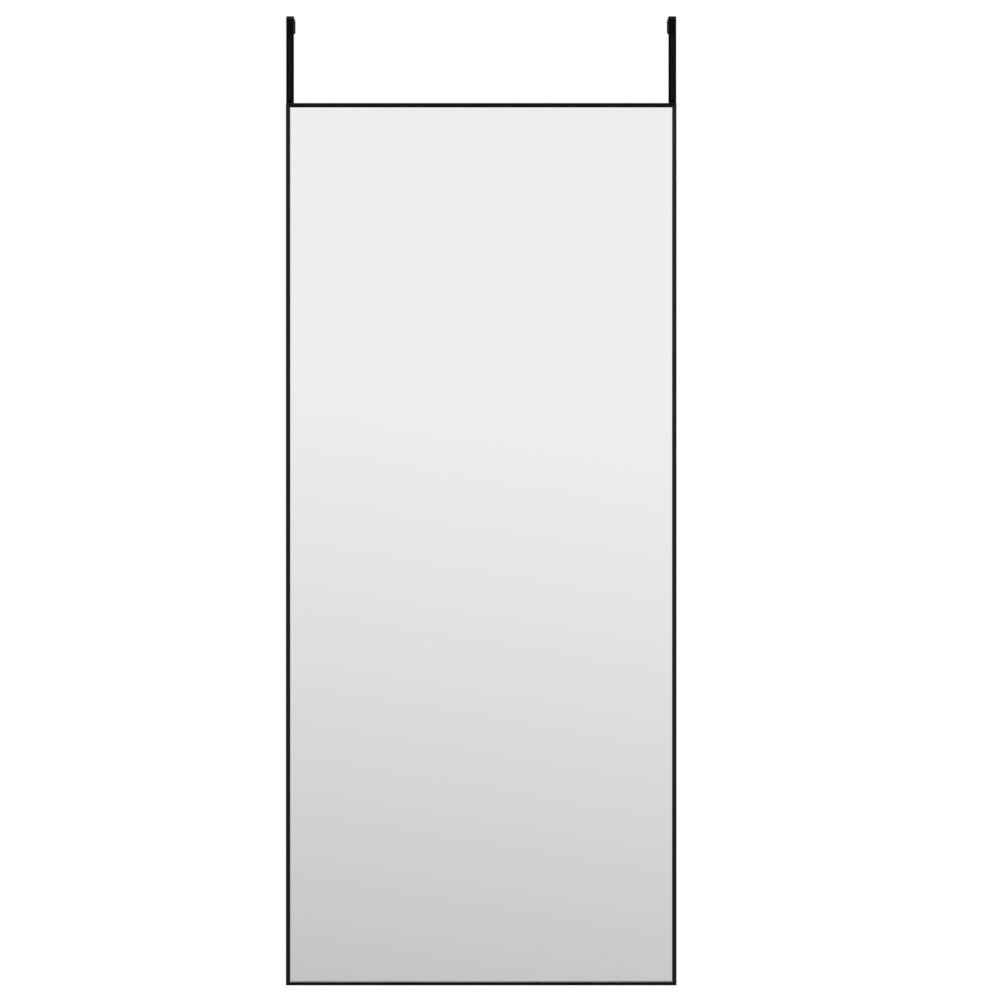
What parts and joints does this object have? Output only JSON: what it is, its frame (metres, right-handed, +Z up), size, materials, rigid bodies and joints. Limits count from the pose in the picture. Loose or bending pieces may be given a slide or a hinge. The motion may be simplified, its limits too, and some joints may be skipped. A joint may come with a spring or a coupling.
{
  "type": "over the door mirror",
  "caption": "Tall slim-framed mirror with a silvered glass pane in mitred black bars, hung on a door by bent steel hooks that reach over its top edge.",
  "frame": {"origin": "middle of the door's top front edge: x = 0 is the mirror's centre line, y = 0 the front face of the door, which the strap pads and the bumpers touch, and z = 0 the top edge of the door, on which the seat pads rest", "axes": "+X to the viewer's right, +Y from the viewer into the door, +Z up; the mirror faces -Y"},
  "size_m": [0.4004, 0.0602, 0.994],
  "materials": {
    "black_aluminium": "satin",
    "mirror": "polished",
    "fibreboard": "matte",
    "mounting_tape": "matte",
    "zinc_steel": "satin",
    "screw_steel": "satin",
    "black_steel": "satin",
    "black_screw_steel": "satin",
    "black_rubber": "matte"
  },
  "bodies": {
    "root": {"frame_left": "black_aluminium", "frame_right": "black_aluminium", "frame_top": "black_aluminium", "frame_bottom": "black_aluminium", "mirror_glass": "mirror", "backing_board": "fibreboard", "tape_left": "mounting_tape", "tape_right": "mounting_tape", "tape_top": "mounting_tape", "tape_bottom": "mounting_tape", "corner_key_top_left": "zinc_steel", "corner_key_top_right": "zinc_steel", "corner_key_bottom_left": "zinc_steel", "corner_key_bottom_right": "zinc_steel", "set_screws_top_left": "screw_steel", "set_screws_top_right": "screw_steel", "set_screws_bottom_left": "screw_steel", "set_screws_bottom_right": "screw_steel", "hook_left": "black_steel", "hook_right": "black_steel", "hook_screws_left": "black_screw_steel", "hook_screws_right": "black_screw_steel", "strap_pad_left": "black_rubber", "strap_pad_right": "black_rubber", "seat_pad_left": "black_rubber", "seat_pad_right": "black_rubber", "leg_pad_left": "black_rubber", "leg_pad_right": "black_rubber", "bumper_left": "black_rubber", "bumper_right": "black_rubber"}
  },
  "joints": []
}
